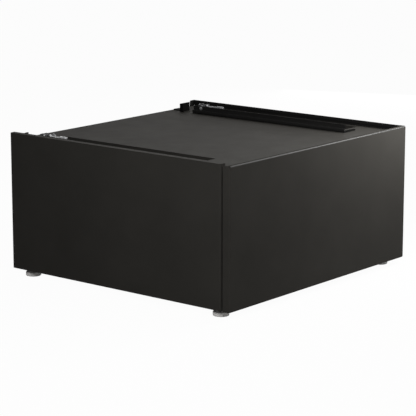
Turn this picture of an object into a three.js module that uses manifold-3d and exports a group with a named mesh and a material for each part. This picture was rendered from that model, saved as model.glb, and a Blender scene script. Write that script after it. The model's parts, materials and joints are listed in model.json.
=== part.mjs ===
import * as THREE from 'three';
import { mergeVertices } from 'three/addons/utils/BufferGeometryUtils.js';
import Module from 'manifold-3d';

const wasm = await Module();
wasm.setup();

// A steel laundry pedestal with one deep drawer. Millimetres.
// X runs from left to right seen from the front, Y from the drawer front to the rear,
// Z up. Sizes below are measured from the middle of the width, from the plane of the
// drawer front and from the cabinet's underside; the outer group at the end of the
// file lifts the cabinet onto its feet and centres its depth.

// ---------------------------------------------------------------- driving sizes
const width = 686;
const depth = 707;
const footHeight = 17;
const wallHeight = 336;        // right wall and rear wall
const leftWallDrop = 15.5;     // the washer slides on over the low left wall
const deckDrop = 14;           // top face of the deck, below the right wall's top
const frontRise = 2.6;         // drawer front, above the right wall's top

const sheet = 1.2;             // steel sheet
const bend = 1.4;              // inner radius of a fold
const bendSteps = 3;
const seat = 0.3;              // gap between pieces that are seated on each other
const holeClearance = 0.3;     // on the radius, round screws and studs

const postWidth = 21;          // front face of the hollow right wall
const postCapWidth = 9;        // outer flange on top of the right wall
const postStep = 2.8;          // inner flange lies this much lower than the outer one
const bottomFlange = 20;       // flange under each side wall
const topFlange = 14;          // flange that carries the deck on the left wall
const rearReturn = 18;         // side walls fold inwards at the rear
const leftFrontReturn = 11;    // left wall folds inwards at the front
const hemHeight = 8;
const hemThickness = 3;

const frontThickness = 16;
const frontGap = 5.5;          // between drawer front and right wall
const frontBend = 3.2;
const frontBendSteps = 5;
const linerThickness = 1.2;
const closedGap = 3;           // drawer front to cabinet, taken up by the bumpers

const deckLeftInset = 11;      // the deck stops short of the left wall's outer face
const deckLip = 14;            // down-turned edges of the deck and of its slots
const handSlotLeft = 86;       // from the left wall to the hand slot
const handSlotRight = 112;     // and from its other end to the right wall
const handSlotReach = 115;     // its far edge, from the front plane
const rearSlotLeft = 103;
const rearSlotRight = 114;
const rearSlotInset = 19;      // from its far edge to the rear end of the cabinet
const rearSlotDepth = 76;

const stopLeft = 90;           // from the left wall to the rear stop rail
const stopRight = 85;          // and from its other end to the right wall
const stopInset = 119;         // from its front face to the rear end of the cabinet
const stopFoot = 20;
const stopStepHeight = 9.5;
const stopStepDepth = 6;
const stopHeight = 20;
const stopSheet = 1.5;
const stopTabWidth = 8;        // low tab that runs back from the rail's right end
const stopTabLength = 50;
const stopTabHeight = 3;
const blockLeft = 49;          // from the left wall to the corner stop's upright
const blockInset = 122;        // from its near edge to the rear end of the cabinet
const blockLength = 38;
const blockHeight = 22;
const blockReturn = 12;
const blockFoot = 34;
const blockFootStart = 15;     // its foot begins this far behind its near edge
const blockThickness = 3;

const topRailWidth = 34;
const topRailDrop = 32;
const bottomRailWidth = 42;
const bottomRailHeight = 30;
const bottomRailInset = 71;    // its ends, from the side walls' outer faces
const railSheet = 1.5;

const bracketThickness = 2.2;
const bracketLength = 78;      // along X
const bracketDepth = 58;       // along Y
const bracketTongue = 24;      // upright flange of a foot bracket
const footSideInset = 46;      // foot centre from the side wall's outer face
const frontFootInset = 26;     // foot centre from the front plane
const rearFootInset = 38;      // and from the rear end of the cabinet
const padRadius = 19;
const padDrop = 5;             // pad's top edge, below the cabinet's underside
const padNeckRadius = 11;
const padRim = 5;
const padSocketDepth = 8;
const studRadius = 4;
const studTop = 26;            // above the cabinet's underside
const lockNutHeight = 5.6;
const weldNutHeight = 6;
const nutAcross = 14;          // corner to corner
const roundSides = 24;

const slideHeight = 45.7;
const slideThickness = 12.7;
const slideSheet = 1.2;
const slideRace = 0.5;         // running gap between the members of a slide
const slideHeadRoom = 2.2;     // room for screw heads behind the middle member
const slideFront = 24;         // front end of the slides, from the front plane
const slideInset = 123;        // their rear end, from the rear end of the cabinet
const slideCentre = 130;       // height of the slides' middle
const slideLip = 2.2;          // how far the middle member stays back from the face
const slideBracketDepth = 11;
const slideBracketFlange = 15;
const slideBracketWeb = 64;

const tubFloorHeight = 46;
const tubHeadRoom = 60;        // from the tub's top edge to the deck's top face
const tubInset = 101;          // from its back to the rear end of the cabinet
const tubFlange = 8;
const tubSheet = 1.0;
const tubFloorFlange = 12;

const screwRadius = 2;
const screwLength = 7;
const screwHeadRadius = 4;
const screwHeadHeight = 1.6;
const slideScrewFirst = 60;    // from a slide's front end
const slideScrewLast = 100;    // from its rear end
const tubScrewInset = 30;      // from the tub's lower and upper edge
const rearScrewInset = 44;     // from a side wall's lower and upper edge
const rearScrewEdge = 12;      // from a side wall's outer face

const clipLength = 28;         // along X
const clipWidth = 24;
const clipThickness = 2;
const clipLugHeight = 13;
const clipLugInset = 4;
const clipLeft = 54;           // from the left wall to the clip
const frontClipInset = 57;     // rod centre, from the front plane
const rearClipInset = 44;      // and from the rear end of the cabinet
const rodRadius = 2.6;
const rodReach = 55;           // the rod stands this far out past the clip
const rodHeight = 8;           // above the deck
const rodHexRadius = 5;        // its head, nut and sleeve, corner to corner
const rodHeadHeight = 5;
const rodSleeve = 24;          // six-sided sleeve on the rod's free end
const anchorOffset = 24;       // anchor stud, from the rod towards the deck's middle
const anchorLeft = 70;
const anchorHeight = 7;
const anchorWasherRadius = 7.5;
const anchorWasherHeight = 1.6;
const postLeft = 19;           // locating post, from the left wall's outer face
const postLength = 12;
const postStart = 24;
const postDepth = 10;
const postHeight = 17;

const bumperRadius = 3.2;
const leftBumperInset = 6.5;   // from the left wall's outer face to a bumper's centre
const rightBumperInset = 9.3;  // from the right wall's inner face
const stopEarHeight = 22;      // ears on the right wall, behind the bumpers
const stopEarReach = 12.6;
const bumperLow = 50;          // from the underside to the lower bumpers
const bumperDrop = 46;         // from the upper bumpers to the right wall's top

// ------------------------------------------------------------- derived positions
const leftFace = -width / 2;
const rightFace = width / 2;
const postInner = rightFace - postWidth;       // right wall, drawer side
const leftInner = leftFace + sheet;            // left wall, inner face
const leftWallHeight = wallHeight - leftWallDrop;
const deckHeight = wallHeight - deckDrop;
const frontHeight = wallHeight + frontRise;
const cabinetFront = frontThickness + closedGap;
const rearFace = depth - screwHeadHeight - seat;   // rear ends of the side walls
const rearOuter = rearFace - sheet - seat;
const rearInner = rearOuter - sheet;
const frontRight = postInner - frontGap;
const deckBottom = deckHeight - sheet;
const deckLeft = leftFace + deckLeftInset;
const deckRight = postInner - sheet - seat;
const deckFront = cabinetFront + seat;
const deckRear = rearInner - seat;
const handSlot = {
  left: leftFace + handSlotLeft,
  right: postInner - handSlotRight,
  far: handSlotReach,
};
const rearSlot = {
  left: leftFace + rearSlotLeft,
  right: postInner - rearSlotRight,
  near: depth - rearSlotInset - rearSlotDepth,
  far: depth - rearSlotInset,
};
const stopStart = depth - stopInset;
const blockStart = depth - blockInset;
const bottomRailHalf = width / 2 - bottomRailInset;
const footX = width / 2 - footSideInset;
const padHeight = footHeight - padDrop;
const slideLength = depth - slideInset - slideFront;
const slideScrewEnd = slideLength - slideScrewLast;
const slideScrewSpots = [slideScrewFirst, (slideScrewFirst + slideScrewEnd) / 2, slideScrewEnd];
const tubTop = deckHeight - tubHeadRoom;
const tubRear = depth - tubInset;
const tubScrewHeights = { lower: tubFloorHeight + tubScrewInset, upper: tubTop - tubScrewInset };
const rearScrewHeights = { lower: rearScrewInset, upper: wallHeight - rearScrewInset };
const bumperHeights = { lower: bumperLow, upper: wallHeight - bumperDrop };
const innerWallFace = postInner - sheet;       // face that carries the right slide
const frameLeft = leftInner + seat;            // against the left wall's inner face
const foldClearance = sheet + bend + seat;     // clears a fold from its outer face
const onDeck = deckHeight + seat;
const bracketBottom = sheet + seat;
const bracketTop = bracketBottom + bracketThickness;
const leftSlideFace = frameLeft + slideBracketDepth + seat;
const rightSlideFace = innerWallFace - seat;
const tubLeft = leftSlideFace + slideThickness + seat;
const tubRight = rightSlideFace - slideThickness - seat;
const tubFront = frontThickness + seat;

// --------------------------------------------------------------------- materials
const finishes = {
  blackSteel: { color: 0x2b2a29, roughness: 0.42, metalness: 0.35 },
  darkSteel: { color: 0x1b1b1c, roughness: 0.55, metalness: 0.3 },
  zinc: { color: 0xb9bcc0, roughness: 0.35, metalness: 0.9 },
  galvanised: { color: 0x8d9194, roughness: 0.5, metalness: 0.8 },
  whiteNylon: { color: 0xd8d8d4, roughness: 0.6, metalness: 0 },
  blackRubber: { color: 0x121212, roughness: 0.85, metalness: 0 },
};

// ------------------------------------------------------------------ solid helpers
function toSolid(geometry) {
  const bare = geometry.index ? geometry.toNonIndexed() : geometry.clone();
  bare.deleteAttribute('normal');
  bare.deleteAttribute('uv');
  const merged = mergeVertices(bare, 1e-4);
  return new wasm.Manifold(new wasm.Mesh({
    numProp: 3,
    vertProperties: Float32Array.from(merged.attributes.position.array),
    triVerts: Uint32Array.from(merged.index.array),
  }));
}

function toGeometry(solid) {
  const mesh = solid.getMesh();
  const geometry = new THREE.BufferGeometry();
  geometry.setAttribute('position', new THREE.BufferAttribute(mesh.vertProperties, 3));
  geometry.setIndex(new THREE.BufferAttribute(mesh.triVerts, 1));
  geometry.computeVertexNormals();
  return geometry;
}

function fuse(solids) {
  return solids.reduce((whole, next) => whole.add(next));
}

function cut(solid, tools) {
  return tools.reduce((rest, tool) => rest.subtract(tool), solid);
}

// A box from its low and high bounds along each axis.
function block([x0, x1], [y0, y1], [z0, z1]) {
  const geometry = new THREE.BoxGeometry(x1 - x0, y1 - y0, z1 - z0);
  geometry.translate((x0 + x1) / 2, (y0 + y1) / 2, (z0 + z1) / 2);
  return toSolid(geometry);
}

// A round or six-sided rod along an axis, from its centre point at the low end.
function rod(radius, length, axis, [x, y, z], sides = roundSides) {
  const geometry = new THREE.CylinderGeometry(radius, radius, length, sides);
  geometry.translate(0, length / 2, 0);
  if (axis === 'z') geometry.rotateX(Math.PI / 2);
  if (axis === 'x') geometry.rotateZ(-Math.PI / 2);
  geometry.translate(x, y, z);
  return toSolid(geometry);
}

// A flat outline carried straight along an axis: its two coordinates are
// (x, y) along Z, (x, z) along Y and (y, z) along X.
function extrude(outline, axis, from, to) {
  const shape = new THREE.Shape(outline.map(([a, b]) => new THREE.Vector2(a, b)));
  const geometry = new THREE.ExtrudeGeometry(shape, {
    depth: to - from,
    bevelEnabled: false,
    steps: 1,
  });
  if (axis === 'z') geometry.translate(0, 0, from);
  if (axis !== 'z') geometry.rotateX(Math.PI / 2);
  if (axis === 'y') geometry.translate(0, to, 0);
  if (axis === 'x') geometry.rotateZ(Math.PI / 2).translate(from, 0, 0);
  return toSolid(geometry);
}

function direction([x0, y0], [x1, y1]) {
  const length = Math.hypot(x1 - x0, y1 - y0);
  return [(x1 - x0) / length, (y1 - y0) / length];
}

// The path moved sideways, to its left, with its corners kept sharp.
function offsetPath(path, distance) {
  return path.map((point, i) => {
    const into = direction(path[Math.max(i - 1, 0)], path[Math.max(i, 1)]);
    const last = path.length - 1;
    const out = direction(path[Math.min(i, last - 1)], path[Math.min(i + 1, last)]);
    const share = distance / (1 + into[0] * out[0] + into[1] * out[1]);
    return [point[0] - (into[1] + out[1]) * share, point[1] + (into[0] + out[0]) * share];
  });
}

// The path with each inner corner turned into an arc.
function roundPath(path, radiusAt, steps) {
  const rounded = [path[0]];
  for (let i = 1; i < path.length - 1; i++) {
    const into = direction(path[i - 1], path[i]);
    const out = direction(path[i], path[i + 1]);
    const turn = Math.atan2(into[0] * out[1] - into[1] * out[0], into[0] * out[0] + into[1] * out[1]);
    const radius = radiusAt(turn);
    const side = Math.sign(turn);
    const reach = radius * Math.tan(Math.abs(turn) / 2);
    const start = [path[i][0] - into[0] * reach, path[i][1] - into[1] * reach];
    const centre = [start[0] - into[1] * radius * side, start[1] + into[0] * radius * side];
    for (let k = 0; k <= steps; k++) {
      const angle = turn * k / steps;
      const dx = start[0] - centre[0];
      const dy = start[1] - centre[1];
      rounded.push([
        centre[0] + dx * Math.cos(angle) - dy * Math.sin(angle),
        centre[1] + dx * Math.sin(angle) + dy * Math.cos(angle),
      ]);
    }
  }
  rounded.push(path[path.length - 1]);
  return rounded;
}

// Outline of a folded sheet. The path is one face, and the sheet lies to its left.
function foldedSheet(path, thickness = sheet, radius = bend, steps = bendSteps) {
  const near = roundPath(path, (turn) => (turn > 0 ? radius + thickness : radius), steps);
  const far = roundPath(
    offsetPath(path, thickness),
    (turn) => (turn > 0 ? radius : radius + thickness),
    steps,
  );
  return [...near, ...far.reverse()];
}

function hexNut(across, height, boreRadius, [x, y, z]) {
  const body = rod(across / 2, height, 'z', [x, y, z], 6);
  return body.subtract(rod(boreRadius, height + 2, 'z', [x, y, z - 1]));
}

// Pan-head screw along X or Y. The head's inner face is at the given point, and the
// shank goes the other way from the head: side is +1 where the head is at the high end.
function screw(axis, side, [x, y, z]) {
  const low = (start) => (axis === 'x' ? [x + start, y, z] : [x, y + start, z]);
  const headStart = side > 0 ? 0 : -screwHeadHeight;
  const shankStart = side > 0 ? -screwLength : -0.2;
  return fuse([
    rod(screwHeadRadius, screwHeadHeight, axis, low(headStart), 12),
    rod(screwRadius, screwLength + 0.2, axis, low(shankStart), 8),
  ]);
}

// A hole for such a screw, right through the sheet that it holds.
function screwHole(axis, [x, y, z]) {
  const span = 2 * screwLength;
  const start = axis === 'x' ? [x - span / 2, y, z] : [x, y - span / 2, z];
  return rod(screwRadius + holeClearance, span, axis, start, 8);
}

// Named places for each pairing of a height with a side, at one depth.
function places(heights, sides, y) {
  return Object.entries(heights).flatMap(([level, z]) => (
    Object.entries(sides).map(([side, x]) => ({ name: `${level}_${side}`, at: [x, y, z] }))
  ));
}

// Screws through the side walls' rear returns into the rear panel.
const rearScrewPlaces = places(
  rearScrewHeights,
  { left: leftFace + rearScrewEdge, right: rightFace - rearScrewEdge },
  rearFace + seat,
);

const cabinet = new THREE.Group();

function addPart(name, solid, finish, position = [0, 0, 0]) {
  const material = new THREE.MeshStandardMaterial({ ...finishes[finish], flatShading: true });
  const mesh = new THREE.Mesh(toGeometry(solid), material);
  mesh.name = name;
  mesh.position.set(...position);
  cabinet.add(mesh);
}

// --------------------------------------------------------------- right hollow wall
// Outer skin: front post face, side and rear return in one folded sheet, with a
// flange on top and one underneath.
function makeRightSkin() {
  const plan = [
    [postInner, 0],
    [rightFace, 0],
    [rightFace, rearFace],
    [rightFace - rearReturn, rearFace],
  ];
  const upper = [
    [rightFace, wallHeight / 2],
    [rightFace, wallHeight],
    [rightFace - postCapWidth, wallHeight],
  ];
  const lower = [
    [rightFace - bottomFlange, 0],
    [rightFace, 0],
    [rightFace, wallHeight / 2 + sheet],
  ];
  const fold = bend + sheet;
  const length = [0, rearFace];
  const skin = fuse([
    extrude(foldedSheet(plan), 'z', fold, wallHeight - fold),
    extrude(foldedSheet(upper), 'y', fold, rearFace - fold),
    extrude(foldedSheet(lower), 'y', fold, rearFace - fold),
    block([postInner, rightFace - fold], [0, sheet], [0, wallHeight]),
    block([rightFace - postCapWidth, rightFace - fold], length, [wallHeight - sheet, wallHeight]),
    block([rightFace - rearReturn, rightFace - fold], [rearFace - sheet, rearFace], [0, wallHeight]),
    block([rightFace - bottomFlange, rightFace - fold], length, [0, sheet]),
  ]);
  return cut(skin, rearScrewPlaces.map(({ at }) => screwHole('y', at)));
}

// Inner sheet of the right wall. It carries the right slide, and its top flange
// closes the wall a step below the outer flange.
const innerWallTop = wallHeight - sheet - postStep;
function makeRightInnerWall() {
  const path = [
    [rightFace - sheet - seat, innerWallTop],
    [innerWallFace, innerWallTop],
    [innerWallFace, bracketTop + seat],
  ];
  const ears = Object.values(bumperHeights).map((height) => block(
    [innerWallFace - stopEarReach, innerWallFace + sheet / 2],
    [cabinetFront, cabinetFront + sheet],
    [height - stopEarHeight / 2, height + stopEarHeight / 2],
  ));
  const rear = rearOuter - hemThickness - seat;
  const wall = fuse([extrude(foldedSheet(path), 'y', cabinetFront, rear), ...ears]);
  const holes = slideScrewSpots.map((spot) => (
    screwHole('x', [innerWallFace, slideFront + spot, slideCentre])
  ));
  return cut(wall, holes);
}

// ------------------------------------------------------------------ left side wall
function makeLeftWall() {
  const path = [
    [leftFace + topFlange, leftWallHeight],
    [leftFace, leftWallHeight],
    [leftFace, 0],
    [leftFace + bottomFlange, 0],
  ];
  const fold = bend + sheet;
  const upright = [fold, leftWallHeight - fold];
  const inside = leftInner - sheet / 2;
  const wall = fuse([
    extrude(foldedSheet(path), 'y', cabinetFront, rearFace),
    block([inside, leftFace + leftFrontReturn], [cabinetFront, cabinetFront + sheet], upright),
    block([inside, leftFace + rearReturn], [rearFace - sheet, rearFace], upright),
  ]);
  return cut(wall, rearScrewPlaces.map(({ at }) => screwHole('y', at)));
}

// --------------------------------------------------------------------- rear panel
// A sheet between the walls, in front of their rear returns. Above the low left wall
// it runs on to the full width, and its top edge is hemmed.
function makeRearPanel() {
  const ear = rightFace - postCapWidth - seat;
  const across = [frameLeft, rightFace - foldClearance];
  const belowFlange = leftWallHeight - foldClearance;
  const through = [rearInner, rearOuter];
  const aboveFlange = leftWallHeight + seat;
  const panel = fuse([
    block(across, through, [foldClearance, wallHeight]),
    block([leftFace, ear], through, [aboveFlange, wallHeight]),
    block([leftFace, ear], [rearOuter - hemThickness, rearOuter], [wallHeight - hemHeight, wallHeight]),
  ]);
  return cut(panel, [
    block([leftFace, leftFace + topFlange + seat], [0, depth], [belowFlange, aboveFlange]),
    block([ear, rightFace], [0, depth], [wallHeight - foldClearance, wallHeight + sheet]),
    ...rearScrewPlaces.map(({ at }) => screwHole('y', at)),
  ]);
}

// ---------------------------------------------------------------------------- deck
function makeDeck() {
  const level = [deckBottom, deckHeight];
  const lipDrop = [deckHeight - deckLip, deckHeight];
  const slotSides = [deckFront, handSlot.far];
  const deck = cut(block([deckLeft, deckRight], [deckFront, deckRear], level), [
    block([handSlot.left, handSlot.right], [0, handSlot.far], [0, wallHeight]),
    block([rearSlot.left, rearSlot.right], [rearSlot.near, rearSlot.far], [0, wallHeight]),
  ]);
  return fuse([
    deck,
    block([deckLeft + topFlange, handSlot.left], [deckFront, deckFront + sheet], lipDrop),
    block([handSlot.right, deckRight], [deckFront, deckFront + sheet], lipDrop),
    block([handSlot.left - sheet, handSlot.left], slotSides, lipDrop),
    block([handSlot.right, handSlot.right + sheet], slotSides, lipDrop),
    block([handSlot.left - sheet, handSlot.right + sheet], [handSlot.far, handSlot.far + sheet], lipDrop),
    block([deckRight - sheet, deckRight], [deckFront, deckRear], lipDrop),
    block([rearSlot.left - sheet, rearSlot.left], [rearSlot.near, rearSlot.far], lipDrop),
    block([rearSlot.right, rearSlot.right + sheet], [rearSlot.near, rearSlot.far], lipDrop),
    block([rearSlot.left - sheet, rearSlot.right + sheet], [rearSlot.near - sheet, rearSlot.near], lipDrop),
    block([rearSlot.left - sheet, rearSlot.right + sheet], [rearSlot.far, rearSlot.far + sheet], lipDrop),
  ]);
}

// ----------------------------------------------------------------------- cross rails
// Open channels from wall to wall: two under the deck and two at the bottom.
function channel([near, far], [low, high], opensUp, from, to) {
  const path = opensUp
    ? [[near, high], [near, low], [far, low], [far, high]]
    : [[far, low], [far, high], [near, high], [near, low]];
  return extrude(foldedSheet(path, railSheet), 'x', from, to);
}

function makeTopRail(near) {
  const top = deckBottom - seat;
  const from = leftFace + topFlange + seat;
  const to = deckRight - sheet - seat;
  return channel([near, near + topRailWidth], [top - topRailDrop, top], false, from, to);
}

function makeBottomRail(near) {
  const bottom = bracketTop + seat;
  return channel(
    [near, near + bottomRailWidth],
    [bottom, bottom + bottomRailHeight],
    true,
    -bottomRailHalf,
    bottomRailHalf,
  );
}

// ------------------------------------------------------------- feet and their brackets
// A foot's centre is its bracket's origin. The plate rests on the wall's bottom flange
// and carries a weld nut for the stud; its tongue stands behind the bottom rail.
function makeFootBracket(sideways, inwards, inset) {
  const outer = width / 2 - foldClearance - footX;
  const inner = outer - bracketLength;
  const near = cabinetFront + sheet + seat - inset;
  const far = near + bracketDepth;
  const place = ([a, b], sign) => (sign > 0 ? [a, b] : [-b, -a]);
  const x = place([inner, outer], sideways);
  const y = place([near, far], inwards);
  const tongueX = place([inner, inner + bracketThickness], sideways);
  const plate = block(x, y, [bracketBottom, bracketTop]);
  const tongueDepth = place([near + bottomRailWidth + seat, far], inwards);
  const tongue = block(tongueX, tongueDepth, [bracketBottom, bracketTop + bracketTongue]);
  const nut = rod(nutAcross / 2, weldNutHeight, 'z', [0, 0, bracketTop], 6);
  const bore = rod(studRadius + holeClearance, studTop, 'z', [0, 0, 0]);
  return cut(fuse([plate, nut, tongue]), [bore]);
}

function makePad() {
  const socket = studRadius + holeClearance;
  const profile = [
    [0, 0],
    [padRadius - 1, 0],
    [padRadius, 1],
    [padRadius, padRim],
    [padRadius - 1.2, padRim + 0.8],
    [padNeckRadius + 1, padHeight - 2],
    [padNeckRadius, padHeight],
    [socket, padHeight],
    [socket, padHeight - padSocketDepth],
    [0, padHeight - padSocketDepth],
  ];
  const geometry = new THREE.LatheGeometry(profile.map(([r, z]) => new THREE.Vector2(r, z)), 32);
  geometry.rotateX(Math.PI / 2);
  geometry.translate(0, 0, -footHeight);
  return toSolid(geometry);
}

function makeStud() {
  const bottom = -footHeight + padHeight - padSocketDepth + seat;
  return rod(studRadius, studTop - bottom, 'z', [0, 0, bottom]);
}

const corners = [
  { name: 'front_left', x: -footX, y: frontFootInset, inwards: 1, inset: frontFootInset },
  { name: 'front_right', x: footX, y: frontFootInset, inwards: 1, inset: frontFootInset },
  { name: 'rear_left', x: -footX, y: depth - rearFootInset, inwards: -1, inset: rearFootInset },
  { name: 'rear_right', x: footX, y: depth - rearFootInset, inwards: -1, inset: rearFootInset },
];

// --------------------------------------------------------------------------- slides
// Three-member telescopic slides. Sections are drawn for the left slide, from its
// mounting face towards the drawer, and mirrored for the right one.
function memberOutline(half, webNear, tipFar, opensOut) {
  const path = opensOut
    ? [[tipFar, half], [webNear, half], [webNear, -half], [tipFar, -half]]
    : [[webNear, -half], [tipFar, -half], [tipFar, half], [webNear, half]];
  return foldedSheet(path, slideSheet, 0.6, 2);
}

function makeMember(outline, face, side) {
  const flipped = side > 0 ? outline : outline.map(([x, z]) => [-x, z]).reverse();
  const placed = flipped.map(([x, z]) => [face + x, slideCentre + z]);
  return extrude(placed, 'y', slideFront, slideFront + slideLength);
}

const outerHalf = slideHeight / 2;
const middleHalf = outerHalf - slideSheet - slideRace;
const innerHalf = middleHalf - slideSheet - slideRace;
const middleWeb = slideSheet + slideHeadRoom;
const memberTip = slideThickness - slideLip;
const innerStart = middleWeb + slideSheet + slideRace;
const outerOutline = memberOutline(outerHalf, 0, memberTip, true);
const middleOutline = memberOutline(middleHalf, middleWeb, memberTip, true);
const innerOutline = memberOutline(innerHalf, innerStart, slideThickness, false);

function slideScrewPlaces(x) {
  return slideScrewSpots.map((spot) => [x, slideFront + spot, slideCentre]);
}

function makeSlideBracket() {
  const near = frameLeft;
  const far = frameLeft + slideBracketDepth;
  const web = slideBracketWeb / 2;
  const flange = web + slideBracketFlange;
  const path = [
    [near + sheet, -flange],
    [near + sheet, -web],
    [far, -web],
    [far, web],
    [near + sheet, web],
    [near + sheet, flange],
  ].map(([x, z]) => [x, slideCentre + z]);
  const from = cabinetFront + sheet + seat;
  const bar = extrude(foldedSheet(path), 'y', from, slideFront + slideLength);
  return cut(bar, slideScrewPlaces(far).map((place) => screwHole('x', place)));
}

// --------------------------------------------------------------------------- drawer
// Steel pan that makes the drawer front: face, side returns and top and bottom
// returns, open at the back where the liner closes it.
function makeFrontSkin() {
  const path = [
    [leftFace, frontThickness],
    [leftFace, 0],
    [frontRight, 0],
    [frontRight, frontThickness],
  ];
  const outer = roundPath(path, () => frontBend + sheet, frontBendSteps);
  const open = [
    [leftFace + sheet, frontThickness + sheet],
    [leftFace + sheet, sheet],
    [frontRight - sheet, sheet],
    [frontRight - sheet, frontThickness + sheet],
  ];
  const hollow = roundPath(open, () => frontBend, frontBendSteps);
  return cut(extrude(outer, 'z', 0, frontHeight), [
    extrude(hollow, 'z', sheet, frontHeight - sheet),
  ]);
}

const linerBounds = {
  x: [leftFace + sheet + seat, frontRight - sheet - seat],
  y: [frontThickness - linerThickness, frontThickness],
  z: [sheet + seat, frontHeight - sheet - seat],
};

const frontScrewInset = tubSheet + tubFloorFlange;
const frontScrewPlaces = places(
  tubScrewHeights,
  { left: tubLeft + frontScrewInset, right: tubRight - frontScrewInset },
  tubFront + tubSheet + seat,
);

function makeLiner() {
  const holes = frontScrewPlaces.map(({ at }) => screwHole('y', at));
  return cut(block(linerBounds.x, linerBounds.y, linerBounds.z), holes);
}

// Side of the tub: a sheet with its top edge folded out over the slide, its foot
// folded in under the floor and a tab at the front that is screwed to the liner.
function makeTubSide(side) {
  const face = side > 0 ? tubLeft : tubRight;
  const path = [
    [face - side * tubFlange, tubTop],
    [face + side * tubSheet, tubTop],
    [face + side * tubSheet, tubFloorHeight - tubSheet - seat],
    [face + side * tubFloorFlange, tubFloorHeight - tubSheet - seat],
  ];
  const outline = side > 0
    ? foldedSheet(path.reverse(), tubSheet, 0.8)
    : foldedSheet(path, tubSheet, 0.8);
  const tabReach = face + side * (2 * tubFloorFlange);
  const tab = block(
    [Math.min(face, tabReach), Math.max(face, tabReach)],
    [tubFront, tubFront + tubSheet],
    [tubFloorHeight + seat, tubTop - 2],
  );
  const holes = [
    ...slideScrewPlaces(face).map((place) => screwHole('x', place)),
    ...frontScrewPlaces.map(({ at }) => screwHole('y', at)),
  ];
  return cut(fuse([extrude(outline, 'y', tubFront, tubRear), tab]), holes);
}

const tubInnerLeft = tubLeft + tubSheet + seat;
const tubInnerRight = tubRight - tubSheet - seat;

function makeTubFloor() {
  return block(
    [tubInnerLeft, tubInnerRight],
    [tubFront + tubSheet + seat, tubRear],
    [tubFloorHeight - tubSheet, tubFloorHeight],
  );
}

// The back stands on the floor, and its top edge folds forward.
function makeTubBack() {
  const path = [
    [tubRear - tubFlange, tubTop],
    [tubRear, tubTop],
    [tubRear, tubFloorHeight + seat],
  ].reverse();
  return extrude(foldedSheet(path, tubSheet, 0.8), 'x', tubInnerLeft, tubInnerRight);
}

// ------------------------------------------------------------ stops for the washer
// The rear stop rail is a stepped sheet that stands on the deck, with a foot behind it
// and a low tab at its right end. The corner stop is an upright with a near return.
function makeStopRail() {
  const left = leftFace + stopLeft;
  const right = postInner - stopRight;
  const rise = stopStart + stopSheet;
  const path = [
    [rise + stopFoot, onDeck + stopSheet],
    [rise, onDeck + stopSheet],
    [rise, onDeck + stopStepHeight - stopSheet],
    [rise + stopStepDepth, onDeck + stopStepHeight - stopSheet],
    [rise + stopStepDepth, onDeck + stopHeight],
  ];
  const tab = block(
    [right - stopTabWidth, right],
    [rise + stopFoot / 2, stopStart + stopTabLength],
    [onDeck, onDeck + stopTabHeight],
  );
  return extrude(foldedSheet(path, stopSheet, 1, 2), 'x', left, right).add(tab);
}

function makeCornerStop() {
  const x = leftFace + blockLeft;
  const far = blockStart + blockLength;
  const footDepth = [blockStart + blockFootStart, far];
  return fuse([
    block([x, x + blockThickness], [blockStart, far], [onDeck, onDeck + blockHeight]),
    block([x, x + blockReturn], [blockStart, blockStart + blockThickness], [onDeck, onDeck + blockHeight]),
    block([x - blockFoot, x + blockThickness], footDepth, [onDeck, onDeck + blockThickness]),
  ]);
}

function makeLocatingPost() {
  const x = leftFace + postLeft;
  return block([x, x + postLength], [postStart, postStart + postDepth], [onDeck, onDeck + postHeight]);
}

// ------------------------------------------------- washer hold-downs on the left side
// A zinc clip with two lugs, a rod through them with a sleeve on its free end, and an
// anchor stud beside it, the same at the front and at the rear.
const clipStart = leftFace + clipLeft;
const clipEnd = clipStart + clipLength;
const rodAxis = deckHeight + rodHeight;
const lugStarts = [clipStart + clipLugInset, clipEnd - clipLugInset - clipThickness];

function makeClip(y) {
  const across = [y - clipWidth / 2, y + clipWidth / 2];
  const plate = block([clipStart, clipEnd], across, [onDeck, onDeck + clipThickness]);
  const lugs = lugStarts.map((start) => (
    block([start, start + clipThickness], across, [onDeck, onDeck + clipLugHeight])
  ));
  const bore = rod(rodRadius + holeClearance, clipLength * 2, 'x', [clipStart - clipLength / 2, y, rodAxis]);
  return cut(fuse([plate, ...lugs]), [bore]);
}

function makeRod(y) {
  const head = lugStarts[0] - seat - rodHeadHeight;
  const length = clipEnd + rodReach - head;
  const nutStart = lugStarts[1] + clipThickness + seat;
  return fuse([
    rod(rodRadius, length, 'x', [head, y, rodAxis]),
    rod(rodHexRadius, rodHeadHeight, 'x', [head, y, rodAxis], 6),
    rod(rodHexRadius, rodHeadHeight, 'x', [nutStart, y, rodAxis], 6),
    rod(rodHexRadius, rodSleeve, 'x', [clipEnd + rodReach - rodSleeve, y, rodAxis], 6),
  ]);
}

function makeAnchor(y) {
  const x = leftFace + anchorLeft;
  return fuse([
    rod(anchorWasherRadius, anchorWasherHeight, 'z', [x, y, onDeck]),
    rod(nutAcross / 2 - 1, anchorHeight, 'z', [x, y, onDeck], 6),
    rod(rodRadius, anchorHeight + 3, 'z', [x, y, onDeck], 12),
  ]);
}

const clipRows = [
  { name: 'front_left', y: frontClipInset },
  { name: 'rear_left', y: depth - rearClipInset },
];

// ------------------------------------------------------------------------- assembly
addPart('right_side_skin', makeRightSkin(), 'blackSteel');
addPart('right_inner_wall', makeRightInnerWall(), 'darkSteel');
addPart('left_side_panel', makeLeftWall(), 'blackSteel');

addPart('rear_panel', makeRearPanel(), 'darkSteel');
addPart('deck', makeDeck(), 'blackSteel');
addPart('front_top_rail', makeTopRail(handSlot.far + sheet + seat), 'galvanised');
addPart('rear_top_rail', makeTopRail(rearSlot.near - sheet - seat - topRailWidth), 'galvanised');
addPart('front_bottom_rail', makeBottomRail(cabinetFront + seat), 'galvanised');
addPart('rear_bottom_rail', makeBottomRail(depth - cabinetFront - seat - bottomRailWidth), 'galvanised');

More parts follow.
